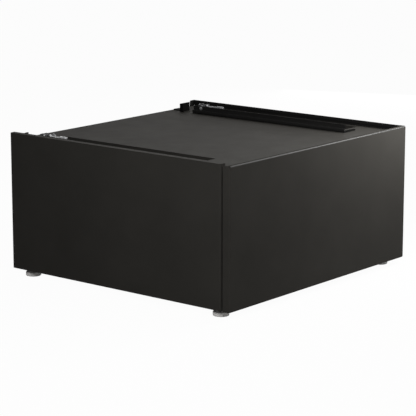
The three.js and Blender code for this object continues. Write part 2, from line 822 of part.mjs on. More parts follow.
const pad = makePad();
const stud = makeStud();
const lockNutTop = bracketBottom - seat;
const lockNutBottom = lockNutTop - lockNutHeight;
const lockNut = hexNut(nutAcross + 2, lockNutHeight, studRadius + holeClearance, [0, 0, lockNutBottom]);
for (const { name, x, y, inwards, inset } of corners) {
  const bracket = makeFootBracket(Math.sign(x), inwards, inset);
  addPart(`foot_bracket_${name}`, bracket, 'galvanised', [x, y, 0]);
  addPart(`foot_pad_${name}`, pad, 'whiteNylon', [x, y, 0]);
  addPart(`foot_stud_${name}`, stud, 'zinc', [x, y, 0]);
  addPart(`foot_lock_nut_${name}`, lockNut, 'zinc', [x, y, 0]);
}

addPart('left_slide_bracket', makeSlideBracket(), 'galvanised');
for (const [name, face, side] of [['left', leftSlideFace, 1], ['right', rightSlideFace, -1]]) {
  const holes = slideScrewPlaces(face).map((place) => screwHole('x', place));
  const tubFace = face + side * slideThickness;
  const innerHoles = slideScrewPlaces(tubFace).map((place) => screwHole('x', place));
  addPart(`${name}_slide_outer`, cut(makeMember(outerOutline, face, side), holes), 'zinc');
  addPart(`${name}_slide_middle`, makeMember(middleOutline, face, side), 'zinc');
  addPart(`${name}_slide_inner`, cut(makeMember(innerOutline, face, side), innerHoles), 'zinc');
}

addPart('drawer_front_skin', makeFrontSkin(), 'blackSteel');
addPart('drawer_front_liner', makeLiner(), 'darkSteel');
addPart('tub_left_side', makeTubSide(1), 'darkSteel');
addPart('tub_right_side', makeTubSide(-1), 'darkSteel');
addPart('tub_floor', makeTubFloor(), 'darkSteel');
addPart('tub_back', makeTubBack(), 'darkSteel');
for (const { name, at } of frontScrewPlaces) {
  addPart(`front_screw_${name}`, screw('y', 1, at), 'zinc');
}
for (const { name, at } of rearScrewPlaces) {
  addPart(`rear_screw_${name}`, screw('y', 1, at), 'zinc');
}

const bumperPlaces = places(
  bumperHeights,
  { left: leftFace + leftBumperInset, right: innerWallFace - rightBumperInset },
  frontThickness + seat,
);
for (const { name, at } of bumperPlaces) {
  addPart(`drawer_bumper_${name}`, rod(bumperRadius, closedGap - 2 * seat, 'y', at, 16), 'blackRubber');
}

addPart('rear_stop_rail', makeStopRail(), 'darkSteel');
addPart('rear_corner_stop', makeCornerStop(), 'darkSteel');
addPart('front_locating_post', makeLocatingPost(), 'darkSteel');
for (const { name, y } of clipRows) {
  const inwards = Math.sign(depth / 2 - y);
  addPart(`clip_${name}`, makeClip(y), 'zinc');
  addPart(`clip_rod_${name}`, makeRod(y), 'zinc');
  addPart(`anchor_stud_${name}`, makeAnchor(y + inwards * anchorOffset), 'zinc');
}

// The origin is on the floor, under the middle of the pedestal.
cabinet.position.set(0, -depth / 2, footHeight);
const pedestal = new THREE.Group();
pedestal.add(cabinet);

export default pedestal;
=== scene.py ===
import json
import math

import bmesh
import bpy
import numpy as np
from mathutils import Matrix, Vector


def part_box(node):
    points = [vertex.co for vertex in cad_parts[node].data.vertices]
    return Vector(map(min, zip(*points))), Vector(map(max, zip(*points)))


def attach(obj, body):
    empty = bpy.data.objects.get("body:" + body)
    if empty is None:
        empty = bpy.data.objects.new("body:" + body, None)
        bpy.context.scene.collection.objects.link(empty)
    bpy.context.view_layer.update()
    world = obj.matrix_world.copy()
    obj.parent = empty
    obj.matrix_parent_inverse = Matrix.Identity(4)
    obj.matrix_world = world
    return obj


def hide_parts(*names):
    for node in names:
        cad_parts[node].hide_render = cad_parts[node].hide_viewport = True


# A black steel laundry pedestal with one deep drawer. Metres, in the frame of the
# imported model: +X right seen from the front, the drawer front faces -Y, +Z up.

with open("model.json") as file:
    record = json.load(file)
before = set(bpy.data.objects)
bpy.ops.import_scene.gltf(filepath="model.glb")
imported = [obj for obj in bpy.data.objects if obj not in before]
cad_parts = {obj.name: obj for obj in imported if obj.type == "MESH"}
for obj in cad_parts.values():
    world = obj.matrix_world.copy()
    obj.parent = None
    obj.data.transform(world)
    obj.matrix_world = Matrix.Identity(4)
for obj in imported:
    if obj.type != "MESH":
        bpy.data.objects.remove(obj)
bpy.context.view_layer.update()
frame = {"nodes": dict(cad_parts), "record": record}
nodes = frame["nodes"]
record = frame["record"]
bodies = {name: body for body, names in record["behaviour"]["bodies"].items() for name in names}
slots = {row["node"]: row["material_slot"] for row in record["subparts"]}
print("frame loaded:", len(nodes), "nodes")


# Every finish is made of noise in object coordinates: a cloudy tint, a smeared
# roughness and a fine relief.
noiseRange = (0.3, 0.7)    # the part of a noise's range that holds nearly all of it


def newFinish(name):
    finish = bpy.data.materials.new(name)
    finish.use_nodes = True
    tree, links = finish.node_tree.nodes, finish.node_tree.links
    return finish, tree, links, tree["Principled BSDF"]


def noiseAt(tree, links, scale, detail=2.0, roughness=0.5, stretch=(1, 1, 1)):
    coordinates = tree.new("ShaderNodeTexCoord")
    mapping = tree.new("ShaderNodeMapping")
    mapping.inputs["Scale"].default_value = stretch
    noise = tree.new("ShaderNodeTexNoise")
    noise.inputs["Scale"].default_value = scale
    noise.inputs["Detail"].default_value = detail
    noise.inputs["Roughness"].default_value = roughness
    links.new(coordinates.outputs["Object"], mapping.inputs["Vector"])
    links.new(mapping.outputs["Vector"], noise.inputs["Vector"])
    return noise.outputs["Fac"]


def spread(tree, links, source, low, high):
    # the noise's range stretched between two values
    ranged = tree.new("ShaderNodeMapRange")
    ranged.inputs["From Min"].default_value = noiseRange[0]
    ranged.inputs["From Max"].default_value = noiseRange[1]
    ranged.inputs["To Min"].default_value = low
    ranged.inputs["To Max"].default_value = high
    links.new(source, ranged.inputs["Value"])
    return ranged.outputs["Result"]


def tint(tree, links, source, dark, light):
    # a ramp from dark to light over the noise's range
    ramp = tree.new("ShaderNodeValToRGB")
    for element, position, colour in zip(ramp.color_ramp.elements, noiseRange, (dark, light)):
        element.position = position
        element.color = (*colour, 1)
    links.new(source, ramp.inputs["Fac"])
    return ramp.outputs["Color"]


def relief(tree, links, layers):
    # bumps laid over each other: (height output, depth in metres, strength)
    normal = None
    for height, depth, strength in layers:
        bump = tree.new("ShaderNodeBump")
        bump.inputs["Distance"].default_value = depth
        bump.inputs["Strength"].default_value = strength
        links.new(height, bump.inputs["Height"])
        if normal is not None:
            links.new(normal, bump.inputs["Normal"])
        normal = bump.outputs["Normal"]
    return normal


def shadeWith(tree, links, shader, tintSource, roughSource, values):
    # a tint between dark and light, and a roughness between its two ends
    colour = tint(tree, links, tintSource, values["dark"], values["light"])
    links.new(colour, shader.inputs["Base Color"])
    links.new(spread(tree, links, roughSource, *values["rough"]), shader.inputs["Roughness"])


powder = {
    "dark": (0.0294, 0.0280, 0.0254), "light": (0.0336, 0.0320, 0.0290),
    "rough": (0.60, 0.66), "specular": 0.012,
    "cloudScale": 9.0, "smearScale": 26.0,
    "peelScale": 850.0, "peelDepth": 0.00006, "peelStrength": 0.5,    # fine orange peel
    "waveScale": 3.2, "waveDepth": 0.0006, "waveStrength": 0.35,      # the sheet isn't quite flat
}
cap = {**powder, "rough": (0.80, 0.90), "specular": 0.0}
edge = {    # thin and polished where it is handled
    **powder, "dark": (0.0260, 0.0254, 0.0238), "light": (0.0330, 0.0321, 0.0303),
    "rough": (0.38, 0.46), "specular": 0.13,
    "peelScale": 900.0, "peelDepth": 0.00002, "waveScale": 40.0, "waveDepth": 0.0001,
}
matte = {
    **powder, "dark": (0.0112, 0.0110, 0.0107), "light": (0.0142, 0.0139, 0.0134),
    "rough": (0.60, 0.70), "specular": 0.015,
    "peelScale": 1200.0, "peelDepth": 0.00005, "waveScale": 5.0, "waveDepth": 0.0003,
}
# painted shade: a darker, flat copy of the matte coat, for the stops' right ends, which lie in
# shade
paintedShade = {
    **matte, "dark": (0.0055, 0.0054, 0.0052), "light": (0.0080, 0.0079, 0.0076), "specular": 0.0,
}


def powderCoat(name, values):
    finish, tree, links, shader = newFinish(name)
    cloud = noiseAt(tree, links, values["cloudScale"], detail=3.0)
    smear = noiseAt(tree, links, values["smearScale"], detail=4.0, roughness=0.6)
    shadeWith(tree, links, shader, cloud, smear, values)
    shader.inputs["Specular IOR Level"].default_value = values["specular"]
    peel = noiseAt(tree, links, values["peelScale"], detail=1.0)
    wave = noiseAt(tree, links, values["waveScale"], detail=1.0)
    links.new(relief(tree, links, [
        (wave, values["waveDepth"], values["waveStrength"]),
        (peel, values["peelDepth"], values["peelStrength"]),
    ]), shader.inputs["Normal"])
    return finish


zinc = {
    "dark": (0.17, 0.172, 0.175), "light": (0.32, 0.322, 0.325), "rough": (0.30, 0.48),
    "cloudScale": 130.0, "smearScale": 90.0,
    "scratchScale": 420.0, "scratchDepth": 0.00002, "scratchStrength": 0.5,
    "scratchStretch": (1, 0.08, 1),
}
dullZinc = {
    **zinc, "dark": (0.090, 0.091, 0.094), "light": (0.20, 0.202, 0.205), "rough": (0.34, 0.55),
}
greySteel = {
    **zinc, "dark": (0.030, 0.030, 0.031), "light": (0.075, 0.075, 0.077), "rough": (0.45, 0.62),
    "scratchScale": 300.0, "scratchDepth": 0.00003,
}


def platedSteel(name, values):
    finish, tree, links, shader = newFinish(name)
    shader.inputs["Metallic"].default_value = 1.0
    cloud = noiseAt(tree, links, values["cloudScale"], detail=3.0)
    smear = noiseAt(tree, links, values["smearScale"], detail=4.0, roughness=0.6)
    shadeWith(tree, links, shader, cloud, smear, values)
    scratch = noiseAt(tree, links, values["scratchScale"], stretch=values["scratchStretch"])
    height = (scratch, values["scratchDepth"], values["scratchStrength"])
    links.new(relief(tree, links, [height]), shader.inputs["Normal"])
    return finish


spangle = {
    "dark": (0.13, 0.133, 0.137), "light": (0.24, 0.244, 0.25), "rough": (0.38, 0.55),
    "metallic": 0.85, "crystalScale": 95.0,
    "grainScale": 500.0, "grainDepth": 0.00003, "grainStrength": 0.4,
}


def galvanisedSheet(name, values):
    # flat crystals of slightly different grey, as on hot-dipped sheet
    finish, tree, links, shader = newFinish(name)
    shader.inputs["Metallic"].default_value = values["metallic"]
    coordinates = tree.new("ShaderNodeTexCoord")
    crystal = tree.new("ShaderNodeTexVoronoi")
    crystal.inputs["Scale"].default_value = values["crystalScale"]
    links.new(coordinates.outputs["Object"], crystal.inputs["Vector"])
    parts = tree.new("ShaderNodeSeparateColor")
    links.new(crystal.outputs["Color"], parts.inputs["Color"])
    shadeWith(tree, links, shader, parts.outputs["Red"], parts.outputs["Green"], values)
    grain = noiseAt(tree, links, values["grainScale"])
    height = (grain, values["grainDepth"], values["grainStrength"])
    links.new(relief(tree, links, [height]), shader.inputs["Normal"])
    return finish


nylon = {
    "dark": (0.66, 0.65, 0.63), "light": (0.80, 0.785, 0.765), "rough": (0.38, 0.52),
    "cloudScale": 60.0, "grainScale": 1500.0, "grainDepth": 0.00004, "grainStrength": 0.5,
}
rubber = {
    **nylon, "dark": (0.010, 0.010, 0.010), "light": (0.018, 0.018, 0.018), "rough": (0.72, 0.88),
}


def mouldedPlastic(name, values):
    finish, tree, links, shader = newFinish(name)
    cloud = noiseAt(tree, links, values["cloudScale"], detail=3.0)
    shadeWith(tree, links, shader, cloud, cloud, values)
    grain = noiseAt(tree, links, values["grainScale"], detail=1.0)
    height = (grain, values["grainDepth"], values["grainStrength"])
    links.new(relief(tree, links, [height]), shader.inputs["Normal"])
    return finish


dulledZinc = platedSteel("dulledZinc", dullZinc)
clipSteel = platedSteel("greyClipSteel", greySteel)
polishedEdge = powderCoat("polishedEdgeCoat", edge)
dullCap = powderCoat("dullCapCoat", cap)
# the coat with painted shade, for the stops' right ends
paintedShadeEnd = powderCoat("paintedShadeEndCoat", paintedShade)
finishes = {
    "black_enamel": powderCoat("blackPowderCoat", powder),
    "dark_enamel": powderCoat("matteBlackCoat", matte),
    "zinc": platedSteel("brightZinc", zinc),
    "galvanised": galvanisedSheet("galvanisedSheet", spangle),
    "white_nylon": mouldedPlastic("greyNylon", nylon),
    "black_rubber": mouldedPlastic("blackRubber", rubber),
}
for name, node in nodes.items():
    node.data.materials.clear()
    node.data.materials.append(finishes[slots[name]])
print("finishes made:", len(finishes))


def settle(piece, body, slot, replaced=()):
    # the slot's finish, the body that carries the piece and the nodes it stands in for
    piece.data.materials.clear()
    piece.data.materials.append(finishes[slot])
    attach(piece, body)
    if replaced:
        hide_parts(*replaced)
    return piece


def gridFaces(rows, columns, wrapRows, wrapColumns, start):
    # the quads of a grid of points, as indices counted on from start
    i = np.arange(rows if wrapRows else rows - 1)
    j = np.arange(columns if wrapColumns else columns - 1)
    i, j = np.meshgrid(i, j, indexing="ij")
    row, nextRow = i * columns, (i + 1) % rows * columns
    nextJ = (j + 1) % columns
    quads = np.stack([row + j, row + nextJ, nextRow + nextJ, nextRow + j], -1)
    return quads.reshape(-1, 4) + start


joining = {"mergeWithin": 2e-6, "dropUnder": 1e-6, "smoothAngle": 35}


def pieceFromGrids(name, grids):
    # Each grid is (points[rows, columns, 3], wrapRows, wrapColumns). A row whose points
    # all coincide closes the surface there.
    points, quads, start = [], [], 0
    for grid, wrapRows, wrapColumns in grids:
        rows, columns = grid.shape[:2]
        points.append(grid.reshape(-1, 3))
        quads.append(gridFaces(rows, columns, wrapRows, wrapColumns, start))
        start += rows * columns
    mesh = bpy.data.meshes.new(name)
    mesh.from_pydata(np.concatenate(points).tolist(), [], np.concatenate(quads).tolist())
    cleaned = bmesh.new()
    cleaned.from_mesh(mesh)
    bmesh.ops.remove_doubles(cleaned, verts=cleaned.verts, dist=joining["mergeWithin"])
    bmesh.ops.dissolve_degenerate(cleaned, edges=cleaned.edges, dist=joining["dropUnder"])
    bmesh.ops.recalc_face_normals(cleaned, faces=cleaned.faces)
    cleaned.to_mesh(mesh)
    cleaned.free()
    mesh.shade_smooth()
    mesh.set_sharp_from_angle(angle=math.radians(joining["smoothAngle"]))
    piece = bpy.data.objects.new(name, mesh)
    bpy.context.scene.collection.objects.link(piece)
    return piece


def alongAxis(points, axis, at):
    # points made along +Z from the origin, laid along an axis and moved to their place
    laid = {
        "x": points[..., [2, 0, 1]],
        "-x": points[..., [2, 0, 1]] * (-1, -1, 1),
        "y": points[..., [1, 2, 0]],
    }[axis]
    return laid + np.array(at)


def turned(profile, steps=48, ripple=None):
    # a surface of revolution: radius and height per row, the radius optionally
    # multiplied by a ripple of the row and the angle
    angle = np.linspace(0, 2 * np.pi, steps, endpoint=False)
    profile = np.array(profile, float)
    radius = np.repeat(profile[:, :1], steps, axis=1)
    if ripple is not None:
        radius = radius * ripple(np.arange(len(profile))[:, None], angle[None, :])
    height = np.repeat(profile[:, 1:], steps, axis=1)
    return np.stack([radius * np.cos(angle), radius * np.sin(angle), height], -1)


def threadedRod(radius, pitch, depth, length, steps=20, perTurn=6, chamfer=0.001, least=0.3):
    # The radius falls by a triangle wave of height minus the angle's share of a turn,
    # and by a cone at both ends, but never below its least share.
    rows = int(length / pitch * perTurn) + 1
    height = np.linspace(0, length, rows)[:, None]
    angle = np.linspace(0, 2 * np.pi, steps, endpoint=False)[None, :]
    phase = (height / pitch - angle / (2 * np.pi)) % 1.0
    groove = depth * (1 - np.abs(2 * phase - 1))
    fromEnd = np.minimum(height, length - height)
    taper = np.clip(chamfer - fromEnd, 0, None)
    r = np.maximum(radius - np.maximum(groove, taper), radius * least)
    wall = np.stack([r * np.cos(angle), r * np.sin(angle), height + 0 * angle], -1)
    centre = np.zeros((1, steps, 3))
    top = centre + (0, 0, length)
    return np.concatenate([centre, wall, top])


nutCorners = {"faceShare": 0.97, "slope": 30, "countersink": 0.12}    # the slope in degrees


def hexNut(across, height, bore, steps=60):
    # The radius is half the width over the flats divided by the cosine of the angle from
    # the nearest flat's middle. A cone cuts the corners above and below, and the bore is
    # countersunk by a share of its radius.
    angle = np.linspace(0, 2 * np.pi, steps, endpoint=False)
    sector = (angle + np.pi / 6) % (np.pi / 3) - np.pi / 6
    hexRadius = across / 2 / np.cos(sector)
    faceRadius = across / 2 * nutCorners["faceShare"]
    drop = (hexRadius - faceRadius) * math.tan(math.radians(nutCorners["slope"]))
    sink = bore * nutCorners["countersink"]
    level = np.ones(steps)
    lower = [(bore * level, sink * level), ((bore + sink) * level, 0 * level),
             (faceRadius * level, 0 * level), (hexRadius, drop)]
    rows = lower + [(r, height - z) for r, z in reversed(lower)]
    return np.stack([np.stack([r * np.cos(angle), r * np.sin(angle), z], -1) for r, z in rows])


crossRecess = {    # shares of the head's radius, and of its height for the last two
    "halfBar": 0.13, "barSlope": 0.03, "reach": 0.55, "reachSlope": 0.035,
    "depth": 0.62, "rimDrop": 0.55,
}


def screwHead(radius, height, steps=64, rings=22):
    # A dome that falls with the square of the radius, flat underneath, with a cross
    # recess: its depth is the product of two soft steps, one of the distance from the
    # cross's nearer middle line and one of the distance from the head's middle.
    angle = np.linspace(0, 2 * np.pi, steps, endpoint=False)[None, :]
    share = np.linspace(1, 0, rings)[:, None]
    r = radius * share + 0 * angle
    dome = height * (1 - crossRecess["rimDrop"] * share ** 2) + 0 * angle
    x, y = r * np.cos(angle), r * np.sin(angle)
    bar = np.minimum(np.abs(x), np.abs(y))
    inBar = 1 / (1 + np.exp((bar - radius * crossRecess["halfBar"])
                            / (radius * crossRecess["barSlope"])))
    inReach = 1 / (1 + np.exp((r - radius * crossRecess["reach"])
                              / (radius * crossRecess["reachSlope"])))
    z = dome - height * crossRecess["depth"] * inBar * inReach
    top = np.stack([x, y, z], -1)
    under = np.stack([x[:1], y[:1], 0 * x[:1]], -1)
    return np.concatenate([np.zeros((1, steps, 3)), under, top])


def ring(inner, outer, height, soft=0.12):
    # a rectangle with its corners cut by a share of the height, turned about Z: a washer
    # with softened rims, closed through its bore
    rim = soft * height
    profile = [(inner, rim), (inner + rim, 0), (outer - rim, 0), (outer, rim),
               (outer, height - rim), (outer - rim, height), (inner + rim, height),
               (inner, height - rim)]
    return turned(profile)


def middle(name):
    low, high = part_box(name)
    return (low + high) / 2


folding = {
    "mergeWithin": 1e-6, "flatAngle": 0.5,        # joins the flat faces again
    "rollAngle": 35, "rollSteps": 2, "smoothAngle": 48,
    "foldTilt": 0.97, "upward": 0.2,              # faces that count as an upward fold
    "capDepth": 0.0005, "capLevel": 0.99,         # faces that count as a wall's cap
    "endReach": 0.0085, "endFacing": 0.9,         # faces that count as a stop's right end
}


def refineSheet(node, pieceName, roll):
    # The node's own shape with its flat faces joined again and its edges rolled over,
    # as a coated sheet's are.
    mesh = nodes[node].data.copy()
    mesh.name = pieceName
    shape = bmesh.new()
    shape.from_mesh(mesh)
    bmesh.ops.remove_doubles(shape, verts=shape.verts, dist=folding["mergeWithin"])
    bmesh.ops.dissolve_limit(shape, angle_limit=math.radians(folding["flatAngle"]),
                             verts=shape.verts, edges=shape.edges)
    shape.to_mesh(mesh)
    shape.free()
    piece = bpy.data.objects.new(pieceName, mesh)
    bpy.context.scene.collection.objects.link(piece)
    rolled = piece.modifiers.new("rolledEdges", "BEVEL")
    rolled.width = roll
    rolled.segments = folding["rollSteps"]
    rolled.limit_method = "ANGLE"
    rolled.angle_limit = math.radians(folding["rollAngle"])
    rolled.harden_normals = True
    rolled.use_clamp_overlap = True
    mesh.shade_smooth()
    mesh.set_sharp_from_angle(angle=math.radians(folding["smoothAngle"]))
    settle(piece, bodies[node], slots[node], [node])
    finishFaces(node, mesh)
    return piece


def finishFaces(node, mesh):
    # second and third finishes, given to faces by the way they look and where they lie
    normals = np.empty((len(mesh.polygons), 3), np.float32)
    centres = np.empty_like(normals)
    mesh.polygons.foreach_get("normal", normals.ravel())
    mesh.polygons.foreach_get("center", centres.ravel())
    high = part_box(node)[1]
    if node in ("rear_stop_rail", "rear_corner_stop"):
        # painted shade: the right ends of the stops get a darker, flat coat that stands in for the
        # shade they lie in
        inPaintedShade = centres[:, 0] > high.x - folding["endReach"]
        inPaintedShade |= normals[:, 0] > folding["endFacing"]
        mesh.materials.append(paintedShadeEnd)
        mesh.polygons.foreach_set("material_index", inPaintedShade.astype(np.int32))
    elif slots[node] == "black_enamel":
        # the folds that look upwards are polished by wiping, and the right wall's cap is dull
        onFold = np.abs(normals).max(1) < folding["foldTilt"]
        onFold &= normals[:, 2] > folding["upward"]
        onCap = normals[:, 2] > folding["capLevel"]
        onCap &= centres[:, 2] > high.z - folding["capDepth"]
        onCap &= node == "right_side_skin"
        mesh.materials.append(polishedEdge)
        mesh.materials.append(dullCap)
        mesh.polygons.foreach_set("material_index", np.where(onCap, 2, onFold).astype(np.int32))


sheets = {
    # node: (piece, how far its edges are rolled over)
    "drawer_front_skin": ("drawerFront", 0.0008),
    "drawer_front_liner": ("drawerFrontLiner", 0.0003),
    "right_side_skin": ("rightSideWall", 0.0004),
    "right_inner_wall": ("rightInnerWall", 0.0004),
    "left_side_panel": ("leftSideWall", 0.0004),
    "rear_panel": ("rearPanel", 0.0003),
    "deck": ("deckPlate", 0.0004),
    "front_top_rail": ("frontTopRail", 0.0004),
    "rear_top_rail": ("rearTopRail", 0.0004),
    "front_bottom_rail": ("frontBottomRail", 0.0004),
    "rear_bottom_rail": ("rearBottomRail", 0.0004),
    "left_slide_bracket": ("leftSlideBracket", 0.0004),
    "rear_stop_rail": ("rearStopRail", 0.0004),
    "rear_corner_stop": ("rearCornerStop", 0.0008),
    "tub_left_side": ("tubLeftSide", 0.0003),
    "tub_right_side": ("tubRightSide", 0.0003),
    "tub_back": ("tubBack", 0.0003),
    "clip_front_left": ("frontClip", 0.0005),
    "clip_rear_left": ("rearClip", 0.0005),
}
for corner in ("front_left", "front_right", "rear_left", "rear_right"):
    sheets["foot_bracket_" + corner] = ("footBracket_" + corner, 0.0005)
for node, (pieceName, roll) in sheets.items():
    sheetPiece = refineSheet(node, pieceName, roll)
    if node.startswith("clip_"):
        sheetPiece.data.materials[0] = clipSteel
print("folded sheets finished:", len(sheets))


def strapAlongY(outline, start, end, rim, steps=5):
    # An outline in X and Z carried along Y: at each end it shrinks towards its middle by
    # a quarter circle of the rim's radius, and the last row closes on the middle.
    outline = np.array(outline, float)
    centre = outline.mean(0)
    turn = np.linspace(0, np.pi / 2, steps)
    inset = np.concatenate([rim * (1 - np.sin(turn)), rim * (1 - np.sin(turn[::-1]))])
    place = np.concatenate([start + rim * (1 - np.cos(turn)), end - rim * (1 - np.cos(turn[::-1]))])
    away = outline - centre
    reach = np.linalg.norm(away, axis=1, keepdims=True)
    rows = centre + away[None] * (1 - inset[:, None, None] / reach[None])
    y = np.broadcast_to(place[:, None, None], rows.shape[:2] + (1,))
    body = np.concatenate([rows[..., :1], y, rows[..., 1:]], -1)
    closeLow = np.broadcast_to([centre[0], start, centre[1]], (1,) + body.shape[1:])
    closeHigh = np.broadcast_to([centre[0], end, centre[1]], (1,) + body.shape[1:])
    return np.concatenate([closeLow, body, closeHigh])


def roundedOutline(corners, radius, steps=5):
    # each corner of a convex outline replaced by a quadratic curve between two points
    # that lie the radius away from it
    corners = np.array(corners, float)
    before, after = np.roll(corners, 1, axis=0), np.roll(corners, -1, axis=0)
    toBefore = before - corners
    toAfter = after - corners
    first = corners + toBefore / np.linalg.norm(toBefore, axis=1, keepdims=True) * radius
    last = corners + toAfter / np.linalg.norm(toAfter, axis=1, keepdims=True) * radius
    t = np.linspace(0, 1, steps)[None, :, None]
    curve = (first[:, None] * (1 - t) ** 2 + corners[:, None] * 2 * t * (1 - t)
             + last[:, None] * t ** 2)
    return curve.reshape(-1, 2)


locatingTongue = {"lowShoulder": 0.0045, "highShoulder": 0.0005, "round": 0.0015, "rim": 0.0012}


def makeLocatingTongue():
    # a rounded outline in X and Z whose top rises in a straight line from the left
    # shoulder to the right one, carried along Y
    low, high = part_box("front_locating_post")
    corners = [(low.x, low.z), (high.x, low.z), (high.x, high.z - locatingTongue["highShoulder"]),
               (low.x, high.z - locatingTongue["lowShoulder"])]
    outline = roundedOutline(corners, locatingTongue["round"])
    body = strapAlongY(outline, low.y, high.y, locatingTongue["rim"])
    settle(pieceFromGrids("frontLocatingTongue", [(body, False, True)]), "cabinet", "dark_enamel",
           ["front_locating_post"])


cornerReturn = {
    "reach": 0.0150, "sheet": 0.0012, "round": 0.0045, "roundSteps": 8,
    "sink": 0.0006,                        # into the rolled top of the left wall
    "hem": 0.0080, "underHem": 0.0018,     # the panel's folded top, and the return's foot below it
    "inset": 0.0001, "gap": 0.0002,
    "heart": (0.006, 0.004),               # a point from which the whole outline is seen
}


def makeCornerReturn():
    # The rear panel's upright edge, folded forward over the low left wall: an outline in
    # Y and Z with a quarter circle for its upper front corner, made twice a sheet apart
    # along X and closed on the heart of each face.
    panelLow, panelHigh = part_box("rear_panel")
    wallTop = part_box("left_side_panel")[1].z
    start = panelLow.y - cornerReturn["reach"]
    end = panelLow.y - cornerReturn["gap"]
    footEnd = end + cornerReturn["underHem"]
    low = wallTop - cornerReturn["sink"]
    top = panelHigh.z - cornerReturn["gap"]
    hem = panelHigh.z - cornerReturn["hem"]
    r = cornerReturn["round"]
    turn = np.linspace(0, np.pi / 2, cornerReturn["roundSteps"])
    upper = np.stack([start + r - r * np.cos(turn), top - r + r * np.sin(turn)], -1)
    outline = np.concatenate([[(footEnd, low), (start, low)], upper,
                              [(end, top), (end, hem), (footEnd, hem)]])
    near = np.insert(outline, 0, panelLow.x + cornerReturn["inset"], axis=1)
    heart = (near[0, 0], start + cornerReturn["heart"][0], low + cornerReturn["heart"][1])
    heart = np.broadcast_to(heart, near.shape)
    across = (cornerReturn["sheet"], 0, 0)
    sheetRows = np.stack([heart, near, near + across, heart + across])
    settle(pieceFromGrids("rearCornerReturn", [(sheetRows, False, True)]), "cabinet", "dark_enamel")


tubFloor = {
    "beads": 5, "beadWidth": 0.026, "beadSlope": 0.0015, "beadHeight": 0.0016,
    "endClear": 0.055, "endSlope": 0.004, "points": (181, 61),
}


def makeTubFloor():
    # The floor is pressed up into long beads: the height is the product of two soft
    # steps, one of the distance from the nearest bead's middle line across the tub and
    # one of the distance from the beads' ends along it. The underside is flat.
    low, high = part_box("tub_floor")
    x = np.linspace(low.x, high.x, tubFloor["points"][0])
    y = np.linspace(low.y, high.y, tubFloor["points"][1])
    gridX, gridY = np.meshgrid(x, y, indexing="ij")
    pitch = (high.x - low.x) / tubFloor["beads"]
    off = np.abs((gridX - low.x) % pitch - pitch / 2)
    fromEnd = np.minimum(gridY - low.y, high.y - gridY)
    across = 1 / (1 + np.exp((off - tubFloor["beadWidth"] / 2) / tubFloor["beadSlope"]))
    along = 1 / (1 + np.exp((tubFloor["endClear"] - fromEnd) / tubFloor["endSlope"]))
    top = np.stack([gridX, gridY, high.z + tubFloor["beadHeight"] * across * along], -1)
    # the rim and the underside follow as further rows, from the top's border inwards
    border = np.concatenate([top[:, 0], top[-1, 1:], top[-2::-1, -1], top[0, -2:0:-1]])
    under = border.copy()
    under[:, 2] = low.z
    centre = np.broadcast_to([(low.x + high.x) / 2, (low.y + high.y) / 2, low.z], border.shape)
    skirt = np.stack([border, under, centre])
    piece = pieceFromGrids("tubFloor", [(top, False, False), (skirt, False, True)])
    settle(piece, bodies["tub_floor"], slots["tub_floor"], ["tub_floor"])


stopScrew = {"fromLeft": 0.0251, "step": 0.0060, "height": 0.0143, "radius": 0.0046, "dome": 0.0014}


def makeStopScrew():
    # a screw head turned to face the front, in the upper step of the stop rail and close
    # to its left end
    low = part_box("rear_stop_rail")[0]
    at = (low.x + stopScrew["fromLeft"], low.y + stopScrew["step"], low.z + stopScrew["height"])
    head = screwHead(stopScrew["radius"], stopScrew["dome"])
    head = alongAxis(head * (1, 1, -1), "y", at)
    piece = settle(pieceFromGrids("stopRailScrew", [(head, False, True)]), "cabinet", "zinc")
    piece.data.materials[0] = dulledZinc


makeLocatingTongue()
makeCornerReturn()
makeTubFloor()
makeStopScrew()
print("tongue, corner return, tub floor and stop screw made")


slide = {
    "sheet": 0.0012, "roll": 0.00035,
    "screwSpots": (0.060, 0.260, 0.460),      # from a slide's front end
    "screwRadius": 0.0042, "screwHeight": 0.0015,
    "tubFace": 0.0013,                        # the tub's inner face, beyond the inner member
}


def slideScrews(side):
    # one row of screw heads inside the outer member and one on the tub, both at the
    # slide's own holes
    inward, axis, near, far = {"left": (1, "x", 0, 1), "right": (-1, "-x", 1, 0)}[side]
    outer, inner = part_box(side + "_slide_outer"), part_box(side + "_slide_inner")
    web = outer[near].x + inward * slide["sheet"]
    tubFace = inner[far].x + inward * slide["tubFace"]
    height = (outer[0].z + outer[1].z) / 2
    head = screwHead(slide["screwRadius"], slide["screwHeight"])
    for name, body, x in (("SlideWallScrews", "cabinet", web),
                          ("SlideTubScrews", "drawer", tubFace)):
        heads = [(alongAxis(head, axis, (x, outer[0].y + spot, height)), False, True)
                 for spot in slide["screwSpots"]]
        settle(pieceFromGrids(side + name, heads), body, "zinc")


for side in ("left", "right"):
    slideScrews(side)
    for member in ("outer", "middle", "inner"):
        refineSheet(f"{side}_slide_{member}", f"{side}Slide{member.capitalize()}", slide["roll"])
print("slides finished")


foot = {
    "lobes": 36, "lobeDepth": 0.035, "steps": 144,    # grip notches round the rim
    "threadPitch": 0.00125, "threadDepth": 0.0007,
    "nutAcross": 0.013, "nutClearance": 0.0003,
    "profile": [
        # share of the radius less metres, share of the height plus metres
        (0, 0, 0, 0), (1, 0.0022, 0, 0), (1, 0.0009, 0, 0.0004), (1, 0, 0, 0.0014),
        (1, 0, 0.70, 0), (1, 0.0005, 0.80, 0), (1, 0.0018, 0.87, 0), (1, 0.0050, 0.90, 0),
        (0.66, 0, 0.91, 0), (0.62, 0, 0.93, 0), (0.60, 0, 0.97, 0), (0.57, 0, 1, 0),
        (0.30, 0, 1, 0), (0.28, 0, 0.94, 0), (0.235, 0, 0.90, 0), (0.235, 0, 0.34, 0),
        (0, 0, 0.34, 0),
    ],
    "rimRows": (3, 6),                                # the rows that carry the notches
}


def standingOn(name):
    # the middle of a node's underside, its radius and its height
    low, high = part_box(name)
    centre = np.array(((low.x + high.x) / 2, (low.y + high.y) / 2, low.z))
    return centre, (high.x - low.x) / 2, high.z - low.z


